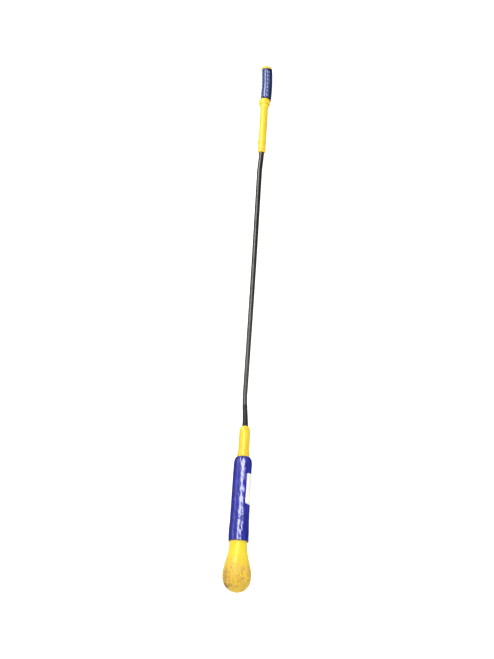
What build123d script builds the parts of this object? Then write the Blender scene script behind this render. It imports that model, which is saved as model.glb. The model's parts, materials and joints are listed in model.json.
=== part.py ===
from build123d import *
import os
from math import asin, cos, radians, sin, tan

# Swing trainer stick, lying at rest on a flat surface.
# It rests on its bulb and on the rim of its butt cap, so its own axis is not quite level.
# All sizes are millimetres. A station is a distance along the stick's axis, measured from the
# tip of the bulb (0) to the top of the butt cap (LENGTH). Radii are measured from that axis.

# ---------------------------------------------------------------- driving dimensions
LENGTH = 1200.0
FIT = 0.05  # radial clearance of glued, pinned and slid-on pieces
OVERSHOOT = 1.0  # how far a drill runs past the wall that it goes through

# bulb
BULB_R = 29.4
BULB_WIDEST = 34.0
BULB_SWELL = 18.0
NECK_SWELL = 28.0
NECK_R = 18.0
NECK_START = 100.0
BULB_WALL = 3.2
BULB_HOLLOW_END = 106.0
BULB_SPIGOT_END = 130.0
BULB_CORE_END = 76.0
CORE_GAP = 0.15  # between the rubber core and the bulb's wall, all round

# barrel and the weight inside it
BARREL_R = 17.0
BARREL_BORE_R = 15.0
BARREL_START = 110.0
BARREL_END = 262.0
WEIGHT_R = 14.7
WEIGHT_START = 131.0
WEIGHT_END = 225.0
WEIGHT_PAD_END = 228.5

# vinyl sleeve and its blank sticker
SLEEVE_START = 103.2
SLEEVE_FLARE_R = 20.6
SLEEVE_FLARE_START = 122.0
SLEEVE_FLARE_END = 148.0
SLEEVE_FLARE_PULL = 11.0
SLEEVE_LOW_R = 19.7
SLEEVE_TOP_R = 18.8
SLEEVE_CROWN = 263.0
SLEEVE_CROWN_LENGTH = 16.0
SLEEVE_LIP_R = 13.3
SLEEVE_WALL = 1.5
SLEEVE_EDGE_ROUND = 1.2
SLEEVE_BELL_END = 111.0
SLEEVE_BELL_TAPER_END = 116.0
LABEL_START = 178.5
LABEL_LENGTH = 64.5
LABEL_WIDTH = 32.5
LABEL_CORNER_R = 2.7
LABEL_THICK = 0.25

# ferrule at the top of the head
FERRULE_SPIGOT_START = 236.0
FERRULE_CROWN_GAP = 1.0
FERRULE_R = 11.4
FERRULE_FOOT_R = 12.8
FERRULE_FOOT_END = 286.0
FERRULE_FOOT_PULL = (289.0, 12.4)
FERRULE_FLARE_PULL = 5.0
FERRULE_STRAIGHT_START = 296.0
FERRULE_STRAIGHT_END = 335.0
FERRULE_MOUTH = 345.0
FERRULE_LIP_R = 7.9

# steel socket that holds the rod's end in the ferrule, and the boot at its mouth
SOCKET_R = 7.0
SOCKET_START = 230.0
SOCKET_END = 341.0
SOCKET_FLANGE_R = 11.0
SOCKET_FLANGE_LENGTH = 5.5
BOOT_ROOT_R = 6.9
BOOT_LIP_R = 6.5
BOOT_TIP_R = 5.1
BOOT_START = 341.5
BOOT_LIP = 345.5
BOOT_END = 392.0
BOOT_PULLS = [(353.0, 5.7), (367.0, 5.25)]

# flexible rod
ROD_START = 238.0
ROD_END = 1150.0
ROD_HEAD_R = 4.8
ROD_HANDLE_R = 5.7
ROD_TAPER_POWER = 0.6
FLEX_COUNT = 6
FLEX_LIMIT_DEG = 10.0
FLEX_GAP = 0.3

# handle tube
HANDLE_MOUTH = 980.0
HANDLE_LIP_R = 6.7
HANDLE_NOSE = (981.2, 7.9)
CLIP_SEAT_R = 8.5
CLIP_SEAT_START = 984.5
CLIP_SEAT_END = 997.0
TUBE_SHOULDER_R = 8.65
TUBE_SHOULDER = 1087.0
TUBE_CORE_R = 7.4
TUBE_BORE_R = 5.8
TUBE_END = 1189.0

# collar, grip and butt cap
COLLAR_THROAT_R = 8.5
COLLAR_R = 12.5
COLLAR_FLARE_END = 1106.0
COLLAR_RIM_END = 1110.8
COLLAR_END = 1112.0
COLLAR_EDGE_R = 11.2
COLLAR_FLARE_PULL = 9.5
GRIP_SECTIONS = [  # station, radius, how far the section's centre stands out towards +X
    (COLLAR_END, 11.2, 3.0),
    (1136.0, 12.0, 3.0),
    (1155.0, 11.75, 3.1),
    (1172.0, 11.75, 2.4),
    (TUBE_END, 11.65, 1.7),
]
CAP_PLUG_START = 1160.0
CAP_RIM_R = 12.6
CAP_RIM_END = 1191.5
CAP_EDGE = 0.7

# pins, screws, rivets and the stud
BOSS_HALF_WIDTH = 1.9
BOSS_START = 999.5
BOSS_TOP_START = 1002.8
BOSS_TOP_END = 1007.2
BOSS_END = 1013.0
BOSS_TOP_R = 10.0
BOSS_FOOT_R = 8.3
BOSS_ROOT_R = 6.5
CROSS_PIN_STATION = 1005.0
CROSS_PIN_R = 1.2
CROSS_PIN_OUTER = 11.3
CROSS_PIN_INNER = -7.0
SOCKET_PIN_STATION = 312.0
SOCKET_PIN_R = 1.5
SOCKET_PIN_HALF = 6.8
SET_SCREW_R = 1.5
SET_SCREW_KEY_R = 0.85
SET_SCREW_KEY_DEPTH = 1.2
SET_SCREW_RECESS = 0.6
HANDLE_SCREW_STATION = 986.0
HEAD_SCREW_STATION = 338.0
RIVET_R = 1.6
RIVET_INNER = 11.0
RIVET_OUTER = 16.9
RIVET_COUNT = 3
UPPER_RIVET_STATION = 249.0
LOWER_RIVET_STATION = 120.0
STUD_R = 4.0
STUD_HEAD_R = 12.0
STUD_HEAD_START = 50.0
STUD_HEAD_LENGTH = 5.0
STUD_END = 158.0

# ---------------------------------------------------------------- the stick's own axis
# The bulb's widest ring and the butt cap's rim both touch the floor plane, z = 0.
TILT = asin((BULB_R - CAP_RIM_R) / (CAP_RIM_END - BULB_WIDEST))
ALONG = Vector(0, cos(TILT), -sin(TILT))
SIDEWAYS = Vector(1, 0, 0)
UPWARD = Vector(0, sin(TILT), cos(TILT))
TIP = Vector(0, -LENGTH / 2 * cos(TILT), BULB_R / cos(TILT) + BULB_WIDEST * sin(TILT))

LENGTHWISE = Plane(origin=TIP, x_dir=ALONG, z_dir=SIDEWAYS)
STICK_AXIS = Axis(TIP, ALONG)
UP_ANGLE = 90.0
LEFT_ANGLE = 180.0


def facing(station, angle):
    """The plane through the axis at a station that faces outwards at an angle round it."""
    outwards = SIDEWAYS * cos(radians(angle)) + UPWARD * sin(radians(angle))
    return Plane(origin=TIP + ALONG * station, x_dir=ALONG, z_dir=outwards)


def ring(start, end, inner, outer):
    """The half section of a plain ring round the axis."""
    with BuildSketch(LENGTHWISE) as section:
        with Locations((start, inner)):
            Rectangle(end - start, outer - inner, align=(Align.MIN, Align.MIN))
    return section.sketch


def radial_pin(station, angle, radius, inner, outer):
    """A plain round pin that points away from the axis, or a drill for its hole."""
    with BuildPart() as pin:
        with BuildSketch(facing(station, angle).offset(inner)):
            Circle(radius)
        extrude(amount=outer - inner)
    return pin.part


def rivets(station, radius, inner, outer):
    """Radial rivets, evenly spaced round the barrel, or the drills for their holes."""
    turns = [UP_ANGLE + 360 / RIVET_COUNT * number for number in range(RIVET_COUNT)]
    return [radial_pin(station, turn, radius, inner, outer) for turn in turns]


def set_screw(station, inner, outer):
    """A headless screw that faces up, with a hexagonal socket in its outer end."""
    with BuildPart() as screw:
        with BuildSketch(facing(station, UP_ANGLE).offset(inner)):
            Circle(SET_SCREW_R)
        extrude(amount=outer - inner)
        with BuildSketch(facing(station, UP_ANGLE).offset(outer)):
            RegularPolygon(SET_SCREW_KEY_R, 6)
        extrude(amount=-SET_SCREW_KEY_DEPTH, mode=Mode.SUBTRACT)
    return screw.part


# ---------------------------------------------------------------- bulb
def bulb_outline(inset, end):
    """The bulb's half section, inset from its skin, from near its tip up to a station."""
    with BuildSketch(LENGTHWISE) as section:
        with BuildLine():
            EllipticalCenterArc(
                (BULB_WIDEST, 0),
                BULB_WIDEST - inset,
                BULB_R - inset,
                start_angle=90,
                arc_size=90,
            )
            Bezier(
                (BULB_WIDEST, BULB_R - inset),
                (BULB_WIDEST + BULB_SWELL, BULB_R - inset),
                (NECK_START - NECK_SWELL, NECK_R - inset),
                (NECK_START, NECK_R - inset),
            )
            Polyline((NECK_START, NECK_R - inset), (end, NECK_R - inset), (end, 0), (inset, 0))
        make_face()
    return section.sketch


with BuildPart() as head_bulb:
    revolve(bulb_outline(0, BARREL_START), axis=STICK_AXIS)
    revolve(bulb_outline(BULB_WALL, BULB_HOLLOW_END), axis=STICK_AXIS, mode=Mode.SUBTRACT)
    revolve(ring(BARREL_START, BULB_SPIGOT_END, 0, BARREL_BORE_R - FIT), axis=STICK_AXIS)
    revolve(
        ring(BULB_HOLLOW_END, BULB_SPIGOT_END, 0, STUD_R + FIT),
        axis=STICK_AXIS,
        mode=Mode.SUBTRACT,
    )
    add(rivets(LOWER_RIVET_STATION, RIVET_R + FIT, RIVET_INNER, BARREL_R), mode=Mode.SUBTRACT)
head_bulb.part.label = "head_bulb"

with BuildPart() as bulb_core:
    revolve(bulb_outline(BULB_WALL + CORE_GAP, BULB_HOLLOW_END), axis=STICK_AXIS)
    split(bisect_by=Plane(TIP + ALONG * BULB_CORE_END, z_dir=ALONG), keep=Keep.BOTTOM)
    revolve(
        ring(
            STUD_HEAD_START - FIT,
            STUD_HEAD_START + STUD_HEAD_LENGTH + FIT,
            0,
            STUD_HEAD_R + FIT,
        ),
        axis=STICK_AXIS,
        mode=Mode.SUBTRACT,
    )
    revolve(
        ring(STUD_HEAD_START, BULB_CORE_END, 0, STUD_R + FIT),
        axis=STICK_AXIS,
        mode=Mode.SUBTRACT,
    )
bulb_core.part.label = "bulb_core"

with BuildPart() as core_stud:
    stud_neck = STUD_HEAD_START + STUD_HEAD_LENGTH
    revolve(ring(STUD_HEAD_START, stud_neck, 0, STUD_HEAD_R), axis=STICK_AXIS)
    revolve(ring(stud_neck, STUD_END, 0, STUD_R), axis=STICK_AXIS)
core_stud.part.label = "core_stud"

# ---------------------------------------------------------------- barrel and weight
with BuildPart() as barrel_tube:
    revolve(ring(BARREL_START, BARREL_END, BARREL_BORE_R, BARREL_R), axis=STICK_AXIS)
    for station in (LOWER_RIVET_STATION, UPPER_RIVET_STATION):
        drills = rivets(station, RIVET_R + FIT, RIVET_INNER, BARREL_R + OVERSHOOT)
        add(drills, mode=Mode.SUBTRACT)
barrel_tube.part.label = "barrel_tube"

with BuildPart() as barrel_weight:
    revolve(ring(WEIGHT_START, WEIGHT_END, 0, WEIGHT_R), axis=STICK_AXIS)
    revolve(
        ring(WEIGHT_START, STUD_END + OVERSHOOT, 0, STUD_R + FIT),
        axis=STICK_AXIS,
        mode=Mode.SUBTRACT,
    )
barrel_weight.part.label = "barrel_weight"

with BuildPart() as weight_pad:
    revolve(ring(WEIGHT_END, WEIGHT_PAD_END, 0, WEIGHT_R), axis=STICK_AXIS)
weight_pad.part.label = "weight_pad"

with BuildPart() as lower_rivets:
    add(rivets(LOWER_RIVET_STATION, RIVET_R, RIVET_INNER, RIVET_OUTER))
lower_rivets.part.label = "lower_rivets"

with BuildPart() as upper_rivets:
    add(rivets(UPPER_RIVET_STATION, RIVET_R, RIVET_INNER, RIVET_OUTER))
upper_rivets.part.label = "upper_rivets"

# ---------------------------------------------------------------- vinyl sleeve and sticker
SLEEVE_BORE_R = BARREL_R + FIT
SLEEVE_END = SLEEVE_CROWN + SLEEVE_CROWN_LENGTH
CROWN_INNER_LENGTH = SLEEVE_CROWN_LENGTH - SLEEVE_WALL
BELL_R = NECK_R + FIT

with BuildPart() as head_sleeve:
    with BuildSketch(LENGTHWISE):
        with BuildLine():
            Line((SLEEVE_START, SLEEVE_FLARE_R), (SLEEVE_FLARE_START, SLEEVE_FLARE_R))
            Bezier(
                (SLEEVE_FLARE_START, SLEEVE_FLARE_R),
                (SLEEVE_FLARE_START + SLEEVE_FLARE_PULL, SLEEVE_FLARE_R),
                (SLEEVE_FLARE_END - SLEEVE_FLARE_PULL, SLEEVE_LOW_R),
                (SLEEVE_FLARE_END, SLEEVE_LOW_R),
            )
            Line((SLEEVE_FLARE_END, SLEEVE_LOW_R), (SLEEVE_CROWN, SLEEVE_TOP_R))
            EllipticalCenterArc(
                (SLEEVE_CROWN, SLEEVE_LIP_R),
                SLEEVE_CROWN_LENGTH,
                SLEEVE_TOP_R - SLEEVE_LIP_R,
                start_angle=0,
                arc_size=90,
            )
            Line((SLEEVE_END, SLEEVE_LIP_R), (SLEEVE_END - SLEEVE_WALL, SLEEVE_LIP_R))
            EllipticalCenterArc(
                (SLEEVE_CROWN, SLEEVE_LIP_R),
                CROWN_INNER_LENGTH,
                SLEEVE_BORE_R - SLEEVE_LIP_R,
                start_angle=0,
                arc_size=90,
            )
            Polyline(
                (SLEEVE_CROWN, SLEEVE_BORE_R),
                (SLEEVE_BELL_TAPER_END, SLEEVE_BORE_R),
                (SLEEVE_BELL_END, BELL_R),
                (SLEEVE_START, BELL_R),
                (SLEEVE_START, SLEEVE_FLARE_R),
            )
        make_face()
    revolve(axis=STICK_AXIS)
    bottom_rims = head_sleeve.edges().filter_by(GeomType.CIRCLE).group_by(Axis.Y)[0]
    fillet(bottom_rims.sort_by(SortBy.RADIUS)[-1], SLEEVE_EDGE_ROUND)
head_sleeve.part.label = "head_sleeve"


def sleeve_radius(station):
    """The sleeve's outer radius on its long, slightly tapered stretch."""
    share = (station - SLEEVE_FLARE_END) / (SLEEVE_CROWN - SLEEVE_FLARE_END)
    return SLEEVE_LOW_R + (SLEEVE_TOP_R - SLEEVE_LOW_R) * share


with BuildPart() as sleeve_label:
    label_end = LABEL_START + LABEL_LENGTH
    low_r = sleeve_radius(LABEL_START) + FIT / 2
    top_r = sleeve_radius(label_end) + FIT / 2
    with BuildSketch(LENGTHWISE):
        with BuildLine():
            Polyline(
                (LABEL_START, low_r),
                (label_end, top_r),
                (label_end, top_r + LABEL_THICK),
                (LABEL_START, low_r + LABEL_THICK),
                close=True,
            )
        make_face()
    revolve(axis=STICK_AXIS)
    with BuildSketch(LENGTHWISE):
        with Locations((LABEL_START + LABEL_LENGTH / 2, 0)):
            RectangleRounded(LABEL_LENGTH, LABEL_WIDTH, LABEL_CORNER_R)
    extrude(amount=SLEEVE_FLARE_R * 2, mode=Mode.INTERSECT)
sleeve_label.part.label = "sleeve_label"

# ---------------------------------------------------------------- ferrule, socket and boot
FERRULE_CROWN_LENGTH = CROWN_INNER_LENGTH - FERRULE_CROWN_GAP

with BuildPart() as head_ferrule:
    with BuildSketch(LENGTHWISE):
        with BuildLine():
            Polyline(
                (BARREL_END, BARREL_R),
                (BARREL_END, BARREL_BORE_R - FIT),
                (FERRULE_SPIGOT_START, BARREL_BORE_R - FIT),
                (FERRULE_SPIGOT_START, SOCKET_R + FIT),
                (FERRULE_MOUTH, SOCKET_R + FIT),
                (FERRULE_MOUTH, FERRULE_LIP_R),
            )
            TangentArc(
                (FERRULE_STRAIGHT_END, FERRULE_R),
                (FERRULE_MOUTH, FERRULE_LIP_R),
                tangent=(1, 0),
            )
            Line((FERRULE_STRAIGHT_END, FERRULE_R), (FERRULE_STRAIGHT_START, FERRULE_R))
            Bezier(
                (FERRULE_STRAIGHT_START, FERRULE_R),
                (FERRULE_STRAIGHT_START - FERRULE_FLARE_PULL, FERRULE_R),
                FERRULE_FOOT_PULL,
                (FERRULE_FOOT_END, FERRULE_FOOT_R),
            )
            Polyline(
                (FERRULE_FOOT_END, FERRULE_FOOT_R),
                (SLEEVE_CROWN + FERRULE_CROWN_LENGTH, FERRULE_FOOT_R),
            )
            EllipticalCenterArc(
                (SLEEVE_CROWN, FERRULE_FOOT_R),
                FERRULE_CROWN_LENGTH,
                BARREL_R - FERRULE_FOOT_R,
                start_angle=0,
                arc_size=90,
            )
            Line((SLEEVE_CROWN, BARREL_R), (BARREL_END, BARREL_R))
        make_face()
    revolve(axis=STICK_AXIS)
    drill = radial_pin(
        HEAD_SCREW_STATION,
        UP_ANGLE,
        SET_SCREW_R + FIT,
        SOCKET_R - OVERSHOOT,
        FERRULE_R + OVERSHOOT,
    )
    add(drill, mode=Mode.SUBTRACT)
    drills = rivets(UPPER_RIVET_STATION, RIVET_R + FIT, RIVET_INNER, BARREL_R)
    add(drills, mode=Mode.SUBTRACT)
head_ferrule.part.label = "head_ferrule"

with BuildPart() as head_set_screw:
    add(set_screw(HEAD_SCREW_STATION, SOCKET_R + FIT, FERRULE_R - SET_SCREW_RECESS))
head_set_screw.part.label = "head_set_screw"

with BuildPart() as rod_socket:
    flange_end = SOCKET_START + SOCKET_FLANGE_LENGTH
    revolve(ring(SOCKET_START, SOCKET_END, ROD_HEAD_R + FIT, SOCKET_R), axis=STICK_AXIS)
    revolve(ring(SOCKET_START, flange_end, SOCKET_R, SOCKET_FLANGE_R), axis=STICK_AXIS)
    drill = radial_pin(SOCKET_PIN_STATION, 0, SOCKET_PIN_R + FIT, -SOCKET_R, SOCKET_R)
    add(drill, mode=Mode.SUBTRACT)
rod_socket.part.label = "rod_socket"

with BuildPart() as socket_pin:
    add(radial_pin(SOCKET_PIN_STATION, 0, SOCKET_PIN_R, -SOCKET_PIN_HALF, SOCKET_PIN_HALF))
socket_pin.part.label = "socket_pin"

with BuildPart() as shaft_boot:
    with BuildSketch(LENGTHWISE):
        with BuildLine():
            Polyline(
                (BOOT_END, BOOT_TIP_R),
                (BOOT_END, ROD_HEAD_R + FIT),
                (BOOT_START, ROD_HEAD_R + FIT),
                (BOOT_START, BOOT_ROOT_R),
                (BOOT_LIP, BOOT_ROOT_R),
                (BOOT_LIP, BOOT_LIP_R),
            )
            Bezier(
                (BOOT_LIP, BOOT_LIP_R),
                *BOOT_PULLS,
                (BOOT_END, BOOT_TIP_R),
            )
        make_face()
    revolve(axis=STICK_AXIS)
shaft_boot.part.label = "shaft_boot"

# ---------------------------------------------------------------- flexible rod
# The rod is one bar. It is divided at evenly spaced stations between the boot and the handle,
# with a shallow cone on each face, so that neighbouring lengths can lean without meeting.
FLEX_SPACING = (HANDLE_MOUTH - BOOT_END) / FLEX_COUNT
FLEX_STATIONS = [HANDLE_MOUTH - FLEX_SPACING * (n + 0.5) for n in range(FLEX_COUNT)]


def rod_radius(station):
    """The rod's radius: it thins from the handle to the head, faster as it nears the head."""
    share = (station - BOOT_END) / (HANDLE_MOUTH - BOOT_END)
    share = min(max(share, 0), 1)
    return ROD_HEAD_R + (ROD_HANDLE_R - ROD_HEAD_R) * share**ROD_TAPER_POWER


def leaning_face(station, side):
    """The axis and rim points of a rod end at a flex station; side is 1 above it, -1 below."""
    radius = rod_radius(station)
    centre = station + side * FLEX_GAP / 2
    rim = centre + side * radius * tan(radians(FLEX_LIMIT_DEG / 2))
    return [(centre, 0), (rim, radius)]


def rod_length(low_points, high_points):
    """The half section of one length of rod, from its lower end's points to its upper end's."""
    with BuildSketch(LENGTHWISE) as section:
        with BuildLine():
            Polyline(*low_points, *reversed(high_points), close=True)
        make_face()
    return section.sketch


with BuildPart() as rod_handle_end:
    buried = [(ROD_END, 0), (ROD_END, ROD_HANDLE_R), (HANDLE_MOUTH, ROD_HANDLE_R)]
    revolve(rod_length(leaning_face(FLEX_STATIONS[0], 1), buried), axis=STICK_AXIS)
    drill = radial_pin(
        CROSS_PIN_STATION, LEFT_ANGLE, CROSS_PIN_R + FIT, -TUBE_BORE_R, TUBE_BORE_R
    )
    add(drill, mode=Mode.SUBTRACT)
rod_handle_end.part.label = "rod_handle_end"

rod_spans = []
for number in range(1, FLEX_COUNT):
    with BuildPart() as rod_span:
        below = leaning_face(FLEX_STATIONS[number], 1)
        above = leaning_face(FLEX_STATIONS[number - 1], -1)
        revolve(rod_length(below, above), axis=STICK_AXIS)
    rod_span.part.label = f"rod_span_{number}"
    rod_spans.append(rod_span)

with BuildPart() as rod_head_end:
    buried = [(ROD_START, 0), (ROD_START, ROD_HEAD_R), (BOOT_END, ROD_HEAD_R)]
    revolve(rod_length(buried, leaning_face(FLEX_STATIONS[-1], -1)), axis=STICK_AXIS)
    drill = radial_pin(SOCKET_PIN_STATION, 0, SOCKET_PIN_R + FIT, -SOCKET_R, SOCKET_R)
    add(drill, mode=Mode.SUBTRACT)
rod_head_end.part.label = "rod_head_end"

# ---------------------------------------------------------------- handle
with BuildPart() as handle_tube:
    with BuildSketch(LENGTHWISE):
        with BuildLine():
            Line((HANDLE_MOUTH, TUBE_BORE_R), (HANDLE_MOUTH, HANDLE_LIP_R))
            ThreePointArc(
                (HANDLE_MOUTH, HANDLE_LIP_R), HANDLE_NOSE, (CLIP_SEAT_START, CLIP_SEAT_R)
            )
            Polyline(
                (CLIP_SEAT_START, CLIP_SEAT_R),
                (CLIP_SEAT_END, CLIP_SEAT_R),
                (TUBE_SHOULDER, TUBE_SHOULDER_R),
                (TUBE_SHOULDER, TUBE_CORE_R),
                (TUBE_END, TUBE_CORE_R),
                (TUBE_END, TUBE_BORE_R),
                (HANDLE_MOUTH, TUBE_BORE_R),
            )
        make_face()
    revolve(axis=STICK_AXIS)
    # moulded boss on the left side, long on the collar's side and short towards the mouth
    with BuildSketch(Plane(origin=TIP, x_dir=ALONG, z_dir=UPWARD)):
        with BuildLine():
            Polyline(
                (BOSS_START, BOSS_ROOT_R),
                (BOSS_START, BOSS_FOOT_R),
                (BOSS_TOP_START, BOSS_TOP_R),
                (BOSS_TOP_END, BOSS_TOP_R),
                (BOSS_END, BOSS_FOOT_R),
                (BOSS_END, BOSS_ROOT_R),
                close=True,
            )
        make_face()
    extrude(amount=BOSS_HALF_WIDTH, both=True)
    drill = radial_pin(
        CROSS_PIN_STATION, LEFT_ANGLE, CROSS_PIN_R + FIT, CROSS_PIN_INNER - FIT, CROSS_PIN_OUTER
    )
    add(drill, mode=Mode.SUBTRACT)
    drill = radial_pin(
        HANDLE_SCREW_STATION,
        UP_ANGLE,
        SET_SCREW_R + FIT,
        TUBE_BORE_R - OVERSHOOT,
        CLIP_SEAT_R + OVERSHOOT,
    )
    add(drill, mode=Mode.SUBTRACT)
handle_tube.part.label = "handle_tube"

with BuildPart() as cross_pin:
    add(
        radial_pin(
            CROSS_PIN_STATION, LEFT_ANGLE, CROSS_PIN_R, CROSS_PIN_INNER, CROSS_PIN_OUTER
        )
    )
cross_pin.part.label = "cross_pin"

with BuildPart() as handle_set_screw:
    add(set_screw(HANDLE_SCREW_STATION, TUBE_BORE_R, CLIP_SEAT_R - SET_SCREW_RECESS))
handle_set_screw.part.label = "handle_set_screw"

with BuildPart() as grip_collar:
    with BuildSketch(LENGTHWISE):
        with BuildLine():
            Line((TUBE_SHOULDER, TUBE_CORE_R + FIT), (TUBE_SHOULDER, COLLAR_THROAT_R))
            Bezier(
                (TUBE_SHOULDER, COLLAR_THROAT_R),
                (TUBE_SHOULDER + COLLAR_FLARE_PULL, COLLAR_THROAT_R),
                (COLLAR_FLARE_END - COLLAR_FLARE_PULL, COLLAR_R),
                (COLLAR_FLARE_END, COLLAR_R),
            )
            Polyline(
                (COLLAR_FLARE_END, COLLAR_R),
                (COLLAR_RIM_END, COLLAR_R),
                (COLLAR_END, COLLAR_EDGE_R),
                (COLLAR_END, TUBE_CORE_R + FIT),
                (TUBE_SHOULDER, TUBE_CORE_R + FIT),
            )
        make_face()
    revolve(axis=STICK_AXIS)
grip_collar.part.label = "grip_collar"

# the grip is thicker on its +X side, so its sections are round but not centred on the tube
with BuildPart() as grip_sleeve:
    for station, radius, stand_out in GRIP_SECTIONS:
        section = Plane(TIP + ALONG * station, x_dir=SIDEWAYS, z_dir=ALONG)
        with BuildSketch(section):
            with Locations((stand_out, 0)):
                Circle(radius)
    loft()
    revolve(
        ring(COLLAR_END - OVERSHOOT, TUBE_END + OVERSHOOT, 0, TUBE_CORE_R + FIT),
        axis=STICK_AXIS,
        mode=Mode.SUBTRACT,
    )
grip_sleeve.part.label = "grip_sleeve"

with BuildPart() as butt_cap:
    with BuildSketch(LENGTHWISE):
        with BuildLine():
            Polyline(
                (LENGTH, 0),
                (CAP_PLUG_START, 0),
                (CAP_PLUG_START, TUBE_BORE_R - FIT),
                (TUBE_END, TUBE_BORE_R - FIT),
                (TUBE_END, CAP_RIM_R - CAP_EDGE),
                (TUBE_END + CAP_EDGE, CAP_RIM_R),
                (CAP_RIM_END, CAP_RIM_R),
            )
            EllipticalCenterArc(
                (CAP_RIM_END, 0), LENGTH - CAP_RIM_END, CAP_RIM_R, start_angle=0, arc_size=90
            )
        make_face()
    revolve(axis=STICK_AXIS)
butt_cap.part.label = "butt_cap"

# ---------------------------------------------------------------- one file per node
pieces = [
    head_bulb,
    bulb_core,
    core_stud,
    barrel_tube,
    barrel_weight,
    weight_pad,
    lower_rivets,
    upper_rivets,
    head_sleeve,
    sleeve_label,
    head_ferrule,
    head_set_screw,
    rod_socket,
    socket_pin,
    shaft_boot,
    rod_head_end,
    *rod_spans,
    rod_handle_end,
    handle_tube,
    cross_pin,
    handle_set_screw,
    grip_collar,
    grip_sleeve,
    butt_cap,
]

os.makedirs("parts", exist_ok=True)
for piece in pieces:
    export_step(piece.part, f"parts/{piece.part.label}.step")
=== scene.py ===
import json
from math import cos, pi, radians, sin, tau

import bmesh
import bpy
import numpy as np
from mathutils import Matrix, Vector


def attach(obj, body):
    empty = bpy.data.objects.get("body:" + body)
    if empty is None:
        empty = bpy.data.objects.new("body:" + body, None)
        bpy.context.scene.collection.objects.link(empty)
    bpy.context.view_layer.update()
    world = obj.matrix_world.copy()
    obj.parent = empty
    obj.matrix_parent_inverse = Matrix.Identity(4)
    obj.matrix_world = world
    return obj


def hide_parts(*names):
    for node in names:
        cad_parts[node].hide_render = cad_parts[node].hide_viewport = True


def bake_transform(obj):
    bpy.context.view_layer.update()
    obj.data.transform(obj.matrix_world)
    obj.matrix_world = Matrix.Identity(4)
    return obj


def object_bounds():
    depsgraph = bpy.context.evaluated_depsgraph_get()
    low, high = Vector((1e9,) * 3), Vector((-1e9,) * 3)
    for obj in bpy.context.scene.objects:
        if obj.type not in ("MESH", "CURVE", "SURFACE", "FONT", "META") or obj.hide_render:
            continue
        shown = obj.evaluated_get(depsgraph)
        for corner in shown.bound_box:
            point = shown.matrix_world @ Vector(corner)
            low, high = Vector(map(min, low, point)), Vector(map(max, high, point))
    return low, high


# The looks of a flexible swing trainer that lies on a flat surface, along Y.
# Lengths are metres. A station is a distance along the stick's own axis, from the bulb's tip.
# Angles go round that axis: 0 is +X, a quarter turn is up and half a turn is -X.
# Stick space is (sideways, station, upwards), so it has no tilt and doesn't move with a pose.

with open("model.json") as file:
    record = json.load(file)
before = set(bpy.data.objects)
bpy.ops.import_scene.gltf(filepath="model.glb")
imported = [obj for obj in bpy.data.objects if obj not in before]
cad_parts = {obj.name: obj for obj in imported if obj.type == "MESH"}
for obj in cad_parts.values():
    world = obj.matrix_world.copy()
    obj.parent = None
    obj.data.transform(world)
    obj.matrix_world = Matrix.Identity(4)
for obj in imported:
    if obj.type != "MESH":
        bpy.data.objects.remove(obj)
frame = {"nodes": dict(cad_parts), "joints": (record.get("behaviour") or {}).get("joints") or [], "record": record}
cad_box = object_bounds()
nodes = frame["nodes"]
joints = frame["joints"]
mounts = {mount["name"]: mount for mount in frame["record"]["mounts"]}
dice = np.random.default_rng(20)

MM = 0.001
UP = pi / 2
HAIR = 0.001 * MM


# ---------------------------------------------------------------- the stick's axis
def corners(node):
    """Every vertex of a CAD node, as rows of x, y, z."""
    mesh = nodes[node].data
    flat = np.empty(len(mesh.vertices) * 3)
    mesh.vertices.foreach_get("co", flat)
    return flat.reshape(-1, 3)


ALONG = np.array(mounts["head_clip_seat"]["axis"])
SIDEWAYS = np.array((1.0, 0.0, 0.0))
UPWARD = np.cross(SIDEWAYS, ALONG)
on_axis = np.array(mounts["head_clip_seat"]["pos_m"])
TIP = on_axis + ALONG * ((corners("head_bulb") - on_axis) @ ALONG).min()


def to_stick(points):
    """Stick space from the row frame."""
    return (points - TIP) @ np.column_stack((SIDEWAYS, ALONG, UPWARD))


def from_stick(points):
    """The row frame from stick space."""
    return TIP + points @ np.array((SIDEWAYS, ALONG, UPWARD))


def place(station, radius=0.0, angle=UP):
    """A point of the row frame."""
    return from_stick(np.array((radius * cos(angle), station, radius * sin(angle))))


def reach(node):
    """The stations where a CAD node starts and ends."""
    stations = to_stick(corners(node))[:, 1]
    return stations.min(), stations.max()


def edges_of(node):
    """Both ends, in stick space, of every edge of a CAD node."""
    mesh = nodes[node].data
    ends = np.empty(len(mesh.edges) * 2, int)
    mesh.edges.foreach_get("vertices", ends)
    points = to_stick(corners(node))
    return points[ends[0::2]], points[ends[1::2]]


def section(edges, station):
    """The points where the edges pass a station."""
    one, other = edges
    passing = (one[:, 1] <= station) != (other[:, 1] <= station)
    one, other = one[passing], other[passing]
    share = (station - one[:, 1]) / (other[:, 1] - one[:, 1])
    return one + (other - one) * share[:, None]


def walls(node, stations):
    """The inner and the outer radius of a CAD node at each station.
    They are read on its underside, where nothing is drilled or stands out."""
    edges = edges_of(node)
    inner, outer = [], []
    for station in stations:
        cut = section(edges, station)
        below = cut[cut[:, 2] < -abs(cut[:, 0]) * 0.6]
        radii = np.hypot(below[:, 0], below[:, 2])
        inner.append(radii.min())
        outer.append(radii.max())
    return np.array(inner), np.array(outer)


def spread(start, end, step, fine=0.2 * MM, rim=2 * MM):
    """Stations from start to end, closer together within a rim of each end."""
    start, end = start + HAIR, end - HAIR
    middle = np.linspace(start + rim, end - rim, max(2, round((end - start - 2 * rim) / step)))
    edge = np.arange(0, rim - fine / 2, fine)
    return np.concatenate((start + edge, middle, end - edge[::-1]))


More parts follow.
